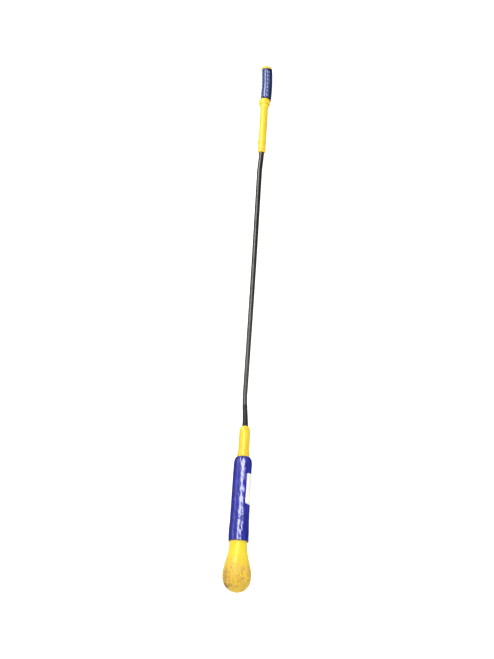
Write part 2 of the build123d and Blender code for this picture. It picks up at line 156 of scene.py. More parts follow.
# ---------------------------------------------------------------- turned pieces
def mesh_object(name, stick, faces, relief=None):
    """A closed, smooth mesh object that keeps its stick-space places for its material,
    and how far its skin stands out at each of them."""
    mesh = bpy.data.meshes.new(name)
    mesh.from_pydata(from_stick(stick).tolist(), [], faces)
    where = mesh.attributes.new("stick", "FLOAT_VECTOR", "POINT")
    where.data.foreach_set("vector", stick.astype(np.float32).ravel())
    if relief is not None:
        rise = mesh.attributes.new("relief", "FLOAT", "POINT")
        rise.data.foreach_set("value", relief.astype(np.float32).ravel())
    shell = bmesh.new()
    shell.from_mesh(mesh)
    bmesh.ops.recalc_face_normals(shell, faces=shell.faces)
    shell.to_mesh(mesh)
    shell.free()
    mesh.shade_smooth()
    mesh.set_sharp_from_angle(angle=radians(38))
    made = bpy.data.objects.new(name, mesh)
    bpy.context.scene.collection.objects.link(made)
    return made


def band_faces(first, second, around):
    """The faces between two rings of points, each given by the number of its first point."""
    here = np.arange(around)
    after = (here + 1) % around
    quads = (first + here, first + after, second + after, second + here)
    return np.stack(quads, axis=1).tolist()


def fan_faces(first, pole, around):
    """The faces between a ring of points and one point that closes it."""
    here = np.arange(around)
    after = (here + 1) % around
    return np.stack((first + here, first + after, np.full(around, pole)), axis=1).tolist()


def lathe(
    name, outer, inner=None, around=96, relief=None, blind=False, lean=None, bow=None, slide=None
):
    """A closed piece turned round the axis.
    outer and inner are rows of (station, radius), from the bulb's end to the butt's end.
    relief(S, A) is how far the outer skin stands out, and lean(S) moves that skin sideways.
    bow(S) moves the whole piece sideways, and slide(S, A) moves it along the stick.
    A piece with no bore, or with a blind one, closes in a pole at each end of its outline."""
    poles = blind or inner is None
    rows = outer if inner is None else np.concatenate((outer, inner[::-1]))
    skin = np.arange(len(rows)) < len(outer)
    S, A = np.meshgrid(rows[:, 0], -UP + np.arange(around) * tau / around, indexing="ij")
    rise = relief(S, A) * skin[:, None] if relief else np.zeros_like(S)
    R = rows[:, 1:2] + rise
    X = R * np.cos(A)
    if lean:
        X = X + lean(S) * skin[:, None]
    if bow:
        X = X + bow(S)
    if slide:
        S = S + slide(S, A)
    stick = np.stack((X, S, R * np.sin(A)), axis=2).reshape(-1, 3)
    firsts = np.arange(len(rows)) * around
    faces = []
    for first, second in zip(firsts, firsts[1:]):
        faces += band_faces(first, second, around)
    if poles:
        for first in (firsts[0], firsts[-1]):
            faces += fan_faces(first, len(stick), around)
            ring = stick[first:first + around]
            pole = np.array([[ring[:, 0].mean(), ring[:, 1].mean(), 0.0]])
            stick = np.concatenate((stick, pole))
    else:
        faces += band_faces(firsts[-1], 0, around)
    rise = np.concatenate((rise.ravel(), np.zeros(len(stick) - rise.size)))
    return mesh_object(name, stick, faces, rise)


def turned(name, node, body, slot, step=1.0 * MM, around=96, relief=None, **moved):
    """A lathe piece that stands for a CAD node and keeps its walls."""
    stations = spread(*reach(node), step)
    inner, outer = walls(node, stations)
    hollow = outer - inner > 0.15 * MM
    skin = np.column_stack((stations, outer))
    bore = np.column_stack((stations, inner))[hollow] if hollow.any() else None
    blind = not hollow.all()
    made = lathe(name, skin, bore, around=around, relief=relief, blind=blind, **moved)
    return dress(made, body, slot, node)


def dress(made, body, slot, *stood_for):
    """Says which body a piece rides on and hides the CAD nodes that it stands for. slot, its finish, is not used.
    """
    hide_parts(*stood_for)
    if body:
        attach(made, body)
    return made


def drill(made, station, angle, radius, inner, outer, sides=32):
    """Cuts a round hole through a piece's skin, square to the axis."""
    bit = bpy.data.meshes.new("bit")
    shell = bmesh.new()
    bmesh.ops.create_cone(
        shell, cap_ends=True, segments=sides, radius1=radius, radius2=radius, depth=outer - inner
    )
    shell.to_mesh(bit)
    shell.free()
    tool = bpy.data.objects.new("bit", bit)
    bpy.context.scene.collection.objects.link(tool)
    out = Vector(place(station, 1.0, angle) - place(station))
    tool.rotation_mode = "QUATERNION"
    tool.rotation_quaternion = out.to_track_quat("Z", "Y")
    tool.location = place(station, (inner + outer) / 2, angle)
    cut = made.modifiers.new("hole", "BOOLEAN")
    cut.operation = "DIFFERENCE"
    cut.solver = "EXACT"
    cut.object = tool
    bpy.context.view_layer.update()
    graph = bpy.context.evaluated_depsgraph_get()
    whole = bpy.data.meshes.new_from_object(made.evaluated_get(graph), depsgraph=graph)
    made.modifiers.clear()
    made.data = whole
    bpy.data.objects.remove(tool)
    whole.set_sharp_from_angle(angle=radians(38))


# ---------------------------------------------------------------- relief
def folds(count, size, lengths, turns):
    """A soft random skin of long waves, with whole numbers of waves round the stick."""
    waves = [
        (dice.integers(*turns), dice.uniform(*lengths) * dice.choice((-1, 1)), dice.uniform(0, tau))
        for _ in range(count)
    ]

    def height(S, A):
        total = sum(np.cos(turn * A + tau * S / length + start) for turn, length, start in waves)
        return total * size / count**0.5

    return height


def away(A, angle):
    """How far round, with its sign, each angle is from one angle."""
    return (A - angle + pi) % tau - pi


def hump(value, centre, width):
    """1 at the centre, with a round top and long soft sides."""
    return np.exp(-(((value - centre) / width) ** 2))


def mould_lines(A, height, width):
    """A faint line down each side, where the halves of the mould met. width is an angle."""
    return sum(height * hump(away(A, side), 0, width) for side in (0, pi))


def blister(S, A, station, angle, length, width, height):
    """A round-topped bump. Length is in metres along the stick, width is an angle."""
    return height * np.exp(-(((S - station) / length) ** 2) - (away(A, angle) / width) ** 2)


def ease(value, start, end):
    """A smooth step from 0 at start to 1 at end."""
    share = np.clip((value - start) / (end - start), 0, 1)
    return share * share * (3 - 2 * share)


# ---------------------------------------------------------------- head
sleeve_start, sleeve_end = reach("head_sleeve")
ferrule_end = reach("head_ferrule")[1]
tube_start, tube_end = reach("handle_tube")

BULB_BELLY = 60 * MM  # the scuffed part of the bulb ends about here
bulb_dents = folds(16, 0.10 * MM, (25 * MM, 70 * MM), (2, 9))
bulb_pits = [
    (dice.uniform(4 * MM, BULB_BELLY), dice.uniform(0, tau), dice.uniform(0.6, 1.6) * MM)
    for _ in range(70)
]


def bulb_relief(S, A):
    """Soft dents, knocks on the belly, a full round end, and a faint mould line down each side."""
    rise = bulb_dents(S, A) + 0.9 * MM * hump(S, 9 * MM, 10 * MM)
    for station, angle, size in bulb_pits:
        rise -= blister(S, A, station, angle, size, size / (25 * MM), 0.12 * size)
    rise += mould_lines(A, 0.08 * MM, 1 / 60)
    return rise * ease(S, 0, 5 * MM) * ease(S, sleeve_start + 2 * MM, sleeve_start - 6 * MM)


def bulb_lean(S):
    """The bulb sags a little to +X, most of all at its tip."""
    sag = 0.4 + 1.6 * np.clip(1 - S / (100 * MM), 0, 1) ** 2
    return sag * MM * ease(S, sleeve_start, sleeve_start - 20 * MM)


SEAM = radians(73)  # the sleeve's welded seam, a little right of the top
SEAM_WIDTH = radians(5)
sleeve_folds = folds(9, 0.17 * MM, (90 * MM, 420 * MM), (3, 12))
sleeve_crinkles = folds(14, 0.10 * MM, (16 * MM, 45 * MM), (4, 15))
seam_beads = [dice.uniform(sleeve_start + 6 * MM, sleeve_end - 18 * MM) for _ in range(13)]
puckers = [
    (dice.uniform(sleeve_start + 10 * MM, sleeve_end - 25 * MM), SEAM + dice.uniform(0.05, 0.75))
    for _ in range(12)
]


def sleeve_relief(S, A):
    """Shrunk-on vinyl: long folds, crinkles, a puckered seam, pleats at the crown, a loose hem."""
    hem = ease(S, sleeve_start + 14 * MM, sleeve_start)
    crown = ease(S, sleeve_end - 26 * MM, sleeve_end - 13 * MM)
    lip = ease(S, sleeve_end, sleeve_end - 3 * MM)
    top = hump(away(A, UP), 0, 1)
    rise = sleeve_folds(S, A) + sleeve_crinkles(S, A) * (0.35 + 0.65 * top)
    wander = 0.06 * np.sin(S * tau / (80 * MM)) + 0.03 * np.sin(S * tau / (23 * MM))
    rise += 0.28 * MM * hump(away(A, SEAM + wander), 0, SEAM_WIDTH)
    for station in seam_beads:
        rise += blister(S, A, station, SEAM - 0.05, 1.5 * MM, 0.065, 0.65 * MM)
    for station, angle in puckers:
        rise -= blister(S, A, station, angle, 3.5 * MM, 0.09, 0.30 * MM)
        rise += blister(S, A, station + 4 * MM, angle - 0.08, 3.0 * MM, 0.10, 0.22 * MM)
    rise += 0.22 * MM * np.cos(13 * A + 1) * crown
    rise += hem * (0.45 * MM * np.cos(A) + 0.25 * MM * np.cos(3 * A + 1) + 0.12 * MM)
    return rise * (0.15 + 0.85 * lip)


ferrule_waves = folds(8, 0.06 * MM, (20 * MM, 60 * MM), (1, 6))


def ferrule_relief(S, A):
    """A bead where the sleeve ends, a slight unevenness, and a mould line down each side."""
    rise = ferrule_waves(S, A)
    rise -= 0.30 * MM * hump(S, sleeve_end, 0.8 * MM)
    rise += 0.25 * MM * hump(S, sleeve_end + 2.0 * MM, 1.2 * MM)
    rise += mould_lines(A, 0.07 * MM, 1 / 40)
    lip = ease(S, ferrule_end, ferrule_end - 4 * MM)
    return rise * ease(S, sleeve_end - 6 * MM, sleeve_end - 3 * MM) * lip


head_bulb = turned(
    "bulb", "head_bulb", "head", "bulb_vinyl",
    step=0.8 * MM, around=176, relief=bulb_relief, lean=bulb_lean,
)
head_sleeve = turned(
    "sleeve", "head_sleeve", "head", "blue_vinyl",
    step=0.6 * MM, around=192, relief=sleeve_relief,
)
head_ferrule = turned(
    "ferrule", "head_ferrule", "head", "yellow_plastic",
    step=0.8 * MM, around=112, relief=ferrule_relief,
)


def rod_bow(S):
    """The rod's own slight bow to -X where it lies free, most of it next to the boot."""
    free = ease(S, ferrule_end, ferrule_end + 70 * MM) * ease(S, tube_start, tube_start - 50 * MM)
    near = np.clip((750 * MM - S) / (336 * MM), 0, 1) ** 1.5
    return -(2.1 + 2.1 * near) * MM * free


def boot_relief(S, A):
    """Shallow moulded rings that fade towards the boot's tip."""
    start, end = reach("shaft_boot")
    return 0.10 * MM * np.cos((S - start) * tau / (3.2 * MM)) * ease(S, end, start + 6 * MM)


shaft_boot = turned(
    "boot", "shaft_boot", "head", "black_rubber",
    step=0.5 * MM, around=64, relief=boot_relief, bow=rod_bow,
)


STICKER_CORNER = 2.7 * MM
STICKER_COLUMNS = 48
STICKER_TOP = 0.25 * MM  # both faces, measured from the sleeve's skin
STICKER_UNDERSIDE = -0.06 * MM
STICKER_TWIST = 0.07  # how far round its low end is turned, in radians


def sticker_grid():
    """Rows of stations and angles over the sticker, its corners rounded and its low end turned,
    and how far the sleeve's skin is from the axis there, with one corner lifting off it."""
    start, end = reach("sleeve_label")
    edge = to_stick(corners("sleeve_label"))
    angles = np.arctan2(edge[:, 2], edge[:, 0])
    middle = (angles.min() + angles.max()) / 2
    half = (angles.max() - angles.min()) / 2
    stations = np.concatenate((
        np.linspace(start, start + STICKER_CORNER, 10)[:-1],
        np.linspace(start + STICKER_CORNER, end - STICKER_CORNER, 90),
        np.linspace(end - STICKER_CORNER, end, 10)[1:],
    ))
    radius = walls("head_sleeve", stations)[1]
    near = np.clip(np.minimum(stations - start, end - stations), 0, STICKER_CORNER)
    inset = STICKER_CORNER - near
    trim = (STICKER_CORNER - np.sqrt(STICKER_CORNER**2 - inset**2)) / radius
    across = np.linspace(-1, 1, STICKER_COLUMNS)
    twist = STICKER_TWIST * ease(stations, start + 0.6 * (end - start), start)
    A = middle + across[None, :] * (half - trim)[:, None] + twist[:, None]
    S = np.repeat(stations[:, None], STICKER_COLUMNS, axis=1)
    lift = 1.1 * MM * ease(S, start + 14 * MM, start) * ease(A, middle + half * 0.2, middle + half)
    ripple = 0.05 * MM * np.cos(S * tau / (17 * MM) + 2 * A)
    return S, A, radius[:, None] + sleeve_relief(S, A) + lift + ripple


def rim_of(rows, columns):
    """The numbers of the points round the edge of a grid, in order."""
    rim = list(range(columns))
    rim += [row * columns + columns - 1 for row in range(1, rows)]
    rim += [(rows - 1) * columns + column for column in range(columns - 2, -1, -1)]
    rim += [row * columns for row in range(rows - 2, 0, -1)]
    return rim


def make_sticker():
    """A thin sheet on the sleeve's skin: two faces, joined round their edges."""
    S, A, skin = sticker_grid()
    rows, columns = S.shape
    under = rows * columns
    sheets = []
    for height in (STICKER_TOP, STICKER_UNDERSIDE):
        R = skin + height
        sheets.append(np.stack((R * np.cos(A), S, R * np.sin(A)), axis=2).reshape(-1, 3))
    faces = []
    for row in range(rows - 1):
        for column in range(columns - 1):
            a = row * columns + column
            faces.append((a, a + 1, a + columns + 1, a + columns))
            faces.append((under + a, under + a + columns, under + a + columns + 1, under + a + 1))
    rim = rim_of(rows, columns)
    for a, b in zip(rim, rim[1:] + rim[:1]):
        faces.append((a, under + a, under + b, b))
    made = mesh_object("sticker", np.concatenate(sheets), faces)
    return dress(made, "head", "white_label", "sleeve_label")


sticker = make_sticker()


# ---------------------------------------------------------------- rod
def measured_radii(bar):
    """Two stations in each of the bar's CAD nodes, and the radius at each."""
    stations, radii = [], []
    for node in bar:
        start, end = reach(node)
        spots = start + (end - start) * np.array((0.3, 0.7))
        stations += spots.tolist()
        radii += walls(node, spots)[1].tolist()
    return stations, radii


def make_rod():
    """The bar in six lengths, each of which crosses one hinge."""
    spans = [f"rod_span_{n}" for n in range(len(joints) - 1, 0, -1)]
    bar = ["rod_head_end", *spans, "rod_handle_end"]
    known, radii = measured_radii(bar)
    flexes = sorted(joints, key=lambda joint: -joint["pos_m"][1])
    hinges = [to_stick(np.array(joint["pos_m"]))[1] for joint in flexes]
    half = (hinges[0] - hinges[1]) / 2
    cuts = [reach("rod_handle_end")[1]] + [hinge - half for hinge in hinges[:-1]]
    cuts.append(reach("rod_head_end")[0])
    lengths = []
    for number, (joint, hinge) in enumerate(zip(flexes, hinges)):
        near_butt, near_bulb = cuts[number], cuts[number + 1]
        stations = np.arange(near_butt, near_bulb, -1.5 * MM)[::-1]
        stations = np.concatenate(([near_bulb], stations[stations > near_bulb]))
        outer = np.column_stack((stations, np.interp(stations, known, radii)))
        made = lathe(f"rod_{number + 1}", outer, around=48, bow=rod_bow)
        dress(made, None, "black_glassfibre", bar[-1 - number])
        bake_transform(made)
        lengths.append(made)
    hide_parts(bar[0])
    return lengths


rod_lengths = make_rod()


# ---------------------------------------------------------------- handle
pin_station = to_stick(corners("cross_pin"))[:, 1].mean()
tube_waves = folds(8, 0.05 * MM, (25 * MM, 80 * MM), (1, 5))


def tube_relief(S, A):
    """A moulded boss over the cross pin, with a long ramp towards the butt."""
    ramp = ease(S, pin_station - 5.5 * MM, pin_station - 1.5 * MM)
    ramp = ramp * ease(S, pin_station + 9 * MM, pin_station + 1.5 * MM)
    boss = 1.5 * MM * ramp * np.exp(-((away(A, pi) / radians(17)) ** 4))
    lip = ease(S, tube_start, tube_start + 4 * MM)
    return boss + (tube_waves(S, A) + mould_lines(A, 0.06 * MM, 1 / 30)) * lip


collar_waves = folds(6, 0.05 * MM, (15 * MM, 40 * MM), (1, 6))


def collar_relief(S, A):
    """A raised ring at the collar's foot and a crease half way up its flare."""
    start, end = reach("grip_collar")
    crease = start + 0.50 * (end - start)
    rise = 0.22 * MM * hump(S, start + 0.9 * MM, 0.7 * MM)
    rise -= 0.60 * MM * hump(S, crease, 1.0 * MM)
    rise += 0.40 * MM * hump(S, crease + 2.6 * MM, 1.8 * MM)
    return rise + collar_waves(S, A)


cap_dents = folds(9, 0.05 * MM, (8 * MM, 25 * MM), (2, 7))


def cap_relief(S, A):
    """Small knocks on the dome and a softened edge."""
    end = reach("butt_cap")[1]
    return cap_dents(S, A) * ease(S, end, end - 4 * MM) * ease(S, tube_end, tube_end + 1 * MM)


CAP_KNOCK = 2.3 * MM


def cap_slide(S, A):
    """The dome is knocked in a little."""
    end = reach("butt_cap")[1]
    return -CAP_KNOCK * ease(S, tube_end + 3 * MM, end)


GRIP_REPEATS = 5  # the pattern comes round this many times
GRIP_DASHES = 7
GRIP_MARGIN = 4.5 * MM
GRIP_RADIUS = 11.5 * MM  # turns the pattern's angles into lengths
DASH_COLUMN = radians(84)  # one column of dashes lies a little right of the top
DASH_HALF = radians(6.5)
DASH_SLANT = 0.15
PANEL_HALF = radians(21)
GROOVE = radians(5)


def frame_shape(across, half_width, along, half_length, corner, edge):
    """1 inside a rounded rectangle and 0 outside it, with a soft edge. Everything is a length."""
    x = np.maximum(abs(across) - half_width + corner, 0)
    y = np.maximum(abs(along) - half_length + corner, 0)
    return 1 - ease(np.hypot(x, y), corner - edge, corner + edge)


def grip_relief(S, A):
    """Smooth raised panels framed by grooves, between columns of slanting dashes.
    The butt end is squeezed out a little at -X."""
    start, end = reach("grip_sleeve")
    middle = (start + end) / 2
    half = (end - start) / 2 - GRIP_MARGIN
    edge = 0.35 * MM
    turn = (A - DASH_COLUMN) * GRIP_REPEATS
    column = away(turn, 0) / GRIP_REPEATS * GRIP_RADIUS
    panel = away(turn, pi) / GRIP_REPEATS * GRIP_RADIUS
    smooth = frame_shape(panel, PANEL_HALF * GRIP_RADIUS, S - middle, half, 2.5 * MM, edge)
    framed = (PANEL_HALF + GROOVE) * GRIP_RADIUS
    groove = frame_shape(panel, framed, S - middle, half + 1.2 * MM, 3.5 * MM, edge)
    pitch = 2 * half / GRIP_DASHES
    beat = ((S - middle + half) % pitch) - pitch / 2
    slant = column - beat * DASH_SLANT
    dash = frame_shape(slant, DASH_HALF * GRIP_RADIUS, beat, pitch * 0.36, 1.1 * MM, edge)
    dash = dash * (abs(S - middle) < half)
    rise = 0.30 * MM * smooth - 0.45 * MM * (groove - smooth) + 0.50 * MM * dash - 0.15 * MM
    rise = rise * ease(S, start, start + 2 * MM) * ease(S, end, end - 2 * MM)
    return rise + blister(S, A, end - 2 * MM, pi, 4 * MM, 0.5, 1.3 * MM)


def make_grip():
    """The grip's sections are round, but off the tube's axis, as the CAD node has them."""
    stations = spread(*reach("grip_sleeve"), step=0.4 * MM)
    edges = edges_of("grip_sleeve")
    cuts = [section(edges, station)[:, 0] for station in stations]
    left = np.array([cut.min() for cut in cuts])
    right = np.array([cut.max() for cut in cuts])
    bore = walls("grip_sleeve", stations)[0]
    made = lathe(
        "grip",
        np.column_stack((stations, (right - left) / 2)),
        np.column_stack((stations, bore)),
        around=224,
        relief=grip_relief,
        lean=lambda S: np.interp(S, stations, (left + right) / 2),
    )
    return dress(made, "handle", "blue_rubber", "grip_sleeve")


handle_tube = turned(
    "tube", "handle_tube", "handle", "yellow_plastic",
    step=0.7 * MM, around=128, relief=tube_relief,
)
grip_collar = turned(
    "collar", "grip_collar", "handle", "yellow_plastic",
    step=0.35 * MM, around=112, relief=collar_relief,
)
grip = make_grip()
butt_cap = turned(
    "cap", "butt_cap", "handle", "yellow_plastic",
    step=0.4 * MM, around=96, relief=cap_relief, slide=cap_slide,
)


PIN_PLAY = 0.06 * MM
HOLE_START = 6.2 * MM  # both are distances from the axis
HOLE_END = 14 * MM


def make_room(made, pin, angle):
    """Drills a piece for a CAD pin or screw that goes in from one side."""
    stations = to_stick(corners(pin))[:, 1]
    radius = (stations.max() - stations.min()) / 2 + PIN_PLAY
    drill(made, stations.mean(), angle, radius, HOLE_START, HOLE_END)


make_room(head_ferrule, "head_set_screw", UP)
make_room(handle_tube, "handle_set_screw", UP)
make_room(handle_tube, "cross_pin", pi)


# ---------------------------------------------------------------- materials
class Shader:
    """A node material. Each method adds nodes and gives back an output to wire on."""

    def __init__(self, name, on_stick=True):
        self.material = bpy.data.materials.new(name)
        self.material.use_nodes = True
        self.tree = self.material.node_tree
        self.surface = self.tree.nodes["Principled BSDF"]
        if on_stick:
            self.where = self.add("ShaderNodeAttribute", attribute_name="stick").outputs["Vector"]
        else:
            self.where = self.add("ShaderNodeTexCoord").outputs["Object"]

    def add(self, kind, inputs=None, **settings):
        """A node. Its inputs take an output to link or a plain value, and settings its options."""
        node = self.tree.nodes.new(kind)
        for key, value in settings.items():
            setattr(node, key, value)
        for key, value in (inputs or {}).items():
            if isinstance(value, bpy.types.NodeSocket):
                self.tree.links.new(value, node.inputs[key])
            else:
                node.inputs[key].default_value = value
        return node

    def noise(self, size, stretch=1.0, turn=0.0, detail=3.0, warp=0.0):
        """Noise with features of one size, drawn out by stretch along the stick or along turn."""
        grid = self.add(
            "ShaderNodeMapping",
            {"Vector": self.where, "Rotation": (0, 0, turn), "Scale": (size, size * stretch, size)},
            vector_type="TEXTURE",
        )
        inputs = {"Vector": grid.outputs[0], "Scale": 1.0, "Detail": detail, "Distortion": warp}
        return self.add("ShaderNodeTexNoise", inputs).outputs["Fac"]

    def band(self, value, start, end, low=0.0, high=1.0):
        """A smooth step from low, where value is start, to high, where it is end."""
        inputs = {"Value": value, "From Min": start, "From Max": end, "To Min": low, "To Max": high}
        return self.add("ShaderNodeMapRange", inputs, interpolation_type="SMOOTHSTEP").outputs[0]

    def math(self, operation, one, other):
        """Arithmetic on two outputs, or on an output and a number."""
        return self.add("ShaderNodeMath", {0: one, 1: other}, operation=operation).outputs[0]

    def times(self, one, other):
        return self.math("MULTIPLY", one, other)

    def plus(self, one, other):
        return self.math("ADD", one, other)

    def axis(self, name):
        """One of the coordinates: X is sideways, Y is the station and Z is upwards."""
        return self.add("ShaderNodeSeparateXYZ", {0: self.where}).outputs[name]

    def stood_out(self):
        """How far the skin stands out from the plain shape."""
        return self.add("ShaderNodeAttribute", attribute_name="relief").outputs["Fac"]

    def spot(self, centre, size, ragged=0.35):
        """1 in the middle of a ragged patch of the given size, falling to 0 at its edge."""
        offset = self.add("ShaderNodeVectorMath", {0: self.where, 1: centre}, operation="SUBTRACT")
        share = self.add(
            "ShaderNodeVectorMath", {0: offset.outputs[0], 1: size}, operation="DIVIDE"
        )
        far = self.add("ShaderNodeVectorMath", {0: share.outputs[0]}, operation="LENGTH")
        rough = self.band(self.noise(4 * MM, detail=5), 0.3, 0.7, -ragged, ragged)
        return self.band(self.plus(far.outputs["Value"], rough), 1.0, 0.35)

    def mix(self, amount, one, other):
        """Colour one where amount is 0 and other where it is 1."""
        inputs = {0: amount}
        for key, colour in ((6, one), (7, other)):
            inputs[key] = colour if isinstance(colour, bpy.types.NodeSocket) else (*colour, 1)
        return self.add("ShaderNodeMix", inputs, data_type="RGBA").outputs[2]

    def paint(self, colour, roughness, height=None, depth=0.1 * MM, **plain):
        """Wires up the surface. plain holds the values that are alike all over it."""
        self.tree.links.new(colour, self.surface.inputs["Base Color"])
        self.tree.links.new(roughness, self.surface.inputs["Roughness"])
        if height is not None:
            bump = self.add("ShaderNodeBump", {"Height": height, "Distance": depth, "Strength": 1.0})
            self.tree.links.new(bump.outputs[0], self.surface.inputs["Normal"])
        for key, value in plain.items():
            self.surface.inputs[key.replace("_", " ")].default_value = value
        return self.material


# Colours are linear red, green and blue.
LEMON = (0.97, 0.70, 0.050)
GOLD = (0.96, 0.61, 0.040)
AMBER = (0.92, 0.53, 0.040)
BROWN = (0.26, 0.13, 0.035)
# painted shade for the creases and grooves of the yellow plastic
CREASE_SHADE = (0.62, 0.30, 0.03)
# painted shadow under the collar's flare
FLARE_SHADOW = (0.16, 0.08, 0.04)


def yellow_plastic(name, wear=0.5):
    """Injection-moulded plastic: faint flow streaks, rubbed patches, a few specks of dirt, painted shade in its
    creases and grooves, and a painted shadow beside the collar's foot.
    """
    s = Shader(name)
    colour = s.mix(s.band(s.noise(22 * MM, 2.5), 0.35, 0.65), GOLD, LEMON)
    streaks = s.times(s.band(s.noise(2.5 * MM, 16, detail=4), 0.52, 0.75), 0.4 * wear)
    colour = s.mix(streaks, colour, AMBER)
    rubbed = s.times(s.band(s.noise(7 * MM, 2, detail=6, warp=0.6), 0.58, 0.74), 0.6 * wear)
    colour = s.mix(rubbed, colour, AMBER)
    specks = s.times(s.band(s.noise(1.3 * MM, 1.6, detail=2), 0.72, 0.78), 0.7 * wear)
    colour = s.mix(specks, colour, BROWN)
    # Painted shade: the skin is coloured darker where it sinks into creases and grooves.
    crease = s.times(s.band(s.stood_out(), 0, -0.5 * MM), 0.75)
    colour = s.mix(crease, colour, CREASE_SHADE)
    # Painted shadow: a dark patch beside the collar's foot, under its flare.
    collar_foot = (9.9 * MM, 1091 * MM, 2 * MM)
    darkening = s.spot(collar_foot, (1.8 * MM, 3 * MM, 6 * MM))
    colour = s.mix(s.times(darkening, 0.8), colour, FLARE_SHADOW)
    roughness = s.band(s.noise(9 * MM, 3, detail=5), 0.3, 0.7, 0.34, 0.44)
    scratches = s.band(s.noise(0.5 * MM, 30, detail=2), 0.62, 0.72)
    height = s.plus(s.noise(0.45 * MM, detail=2), s.times(scratches, -0.8))
    return s.paint(
        colour, roughness, height, 0.02 * MM,
        IOR=1.75, Specular_IOR_Level=0.65, Specular_Tint=(1.0, 0.96, 0.40, 1.0),
    )


BULB_NECK = (1.00, 0.80, 0.045)
BULB_OCHRES = ((1.00, 0.70, 0.065), (0.98, 0.60, 0.09))
BULB_TAN = (0.88, 0.50, 0.17)
BULB_RUBBED = (0.94, 0.64, 0.07)
BULB_SCUFF = (0.46, 0.23, 0.05)
BULB_STAIN = (0.36, 0.17, 0.055)
BULB_SPECK = (0.16, 0.08, 0.03)
BULB_STAINS = (  # the centre and the size of each in mm of stick space, and its strength
    ((-22, 30, 16), (7, 24, 14), 0.50),
    ((25, 38, 8), (6, 18, 13), 0.50),
    ((21, 50, 12), (5, 10, 9), 0.30),
    ((-21, 12, 8), (11, 9, 12), 0.85),
    ((-12, 11, 17), (7, 4, 8), 0.40),
    ((17, 13, 17), (6, 7, 9), 0.25),
)


def bulb_wear(s, colour, ragged, soiled):
    """The broad colours of a worn belly: ochre, patches of tan, and streaks rubbed clean."""
    worn = s.band(s.noise(7 * MM, detail=6, warp=0.5), 0.36, 0.62)
    ochre = s.mix(worn, *BULB_OCHRES)
    colour = s.mix(s.times(soiled, 0.9), colour, ochre)
    tan = s.band(s.noise(9 * MM, detail=6, warp=1.0), 0.50, 0.60)
    tan = s.times(tan, s.band(ragged, 58 * MM, 40 * MM))
    colour = s.mix(s.times(tan, 0.40), colour, BULB_TAN)
    rubbed = s.times(s.band(s.noise(5 * MM, 2.4, radians(25), 5, 0.6), 0.57, 0.66), 0.55)
    return s.mix(rubbed, colour, BULB_RUBBED)


def bulb_scuffs(s, soiled):
    """Fine scratches in three directions, where the bulb is soiled."""
    scuffs = None
    for turn in (38, -42, 12):
        lines = s.band(s.noise(2.2 * MM, 9, radians(turn), 4, 0.4), 0.57, 0.67)
        scuffs = lines if scuffs is None else s.math("MAXIMUM", scuffs, lines)
    return s.times(scuffs, soiled)


def bulb_vinyl():
    """Yellow vinyl, clean at the neck and scuffed and soiled on the belly."""
    s = Shader("bulb_vinyl")
    colour = s.mix(s.band(s.noise(20 * MM, 2), 0.35, 0.65), GOLD, LEMON)
    neck = s.times(s.band(s.axis("Y"), 58 * MM, 78 * MM), 0.8)
    colour = s.mix(neck, colour, BULB_NECK)
    wander = s.band(s.noise(14 * MM, detail=6, warp=0.8), 0.25, 0.75, -17 * MM, 17 * MM)
    ragged = s.plus(s.axis("Y"), wander)
    soiled = s.band(ragged, 64 * MM, 46 * MM)
    colour = bulb_wear(s, colour, ragged, soiled)
    scuffs = bulb_scuffs(s, soiled)
    colour = s.mix(s.times(scuffs, 0.70), colour, BULB_SCUFF)
    for centre, size, strength in BULB_STAINS:
        patch = s.spot([value * MM for value in centre], [value * MM for value in size])
        colour = s.mix(s.times(patch, strength), colour, BULB_STAIN)
    specks = s.times(s.band(s.noise(1.6 * MM, detail=3), 0.68, 0.76), soiled)
    colour = s.mix(s.times(specks, 0.5), colour, BULB_SPECK)
    roughness = s.band(soiled, 0, 1, 0.34, 0.60)
    height = s.plus(s.noise(0.7 * MM, detail=3), s.times(scuffs, -1.2))
    height = s.plus(height, s.times(specks, -1.0))
    return s.paint(
        colour, roughness, height, 0.05 * MM,
        IOR=1.6, Specular_Tint=(1.0, 0.97, 0.55, 1.0),
    )


def blue_vinyl():
    """Shrunk glossy sheet: uneven gloss, fine crinkles, streaks that are partly dust and partly painted sheen, and
    painted glints on the raised seam and its beads.
    """
    s = Shader("blue_vinyl")
    tone = s.band(s.noise(12 * MM, 4, detail=5), 0.3, 0.7)
    colour = s.mix(tone, (0.005, 0.010, 0.28), (0.016, 0.020, 0.42))
    # Pale blue streaks along the sheet: partly dust, partly a painted sheen.
    dust_and_sheen = s.times(s.band(s.noise(2.0 * MM, 13, radians(4), 6, 0.5), 0.50, 0.72), 0.25)
    colour = s.mix(dust_and_sheen, colour, (0.17, 0.18, 0.66))
    # Painted glints: the raised seam and its beads are coloured paler, as if they caught the light.
    raised = s.times(s.band(s.stood_out(), 0.25 * MM, 0.65 * MM), 0.5)
    colour = s.mix(raised, colour, (0.30, 0.30, 0.75))
    roughness = s.band(s.noise(4 * MM, 5, detail=5), 0.35, 0.65, 0.30, 0.50)
    crinkle = s.noise(2.4 * MM, 2.2, radians(12), 5, 1.1)
    return s.paint(
        colour, roughness, crinkle, 0.30 * MM,
        Specular_IOR_Level=0.35, Coat_Weight=1.0, Coat_Roughness=0.17, Coat_IOR=1.85,
    )


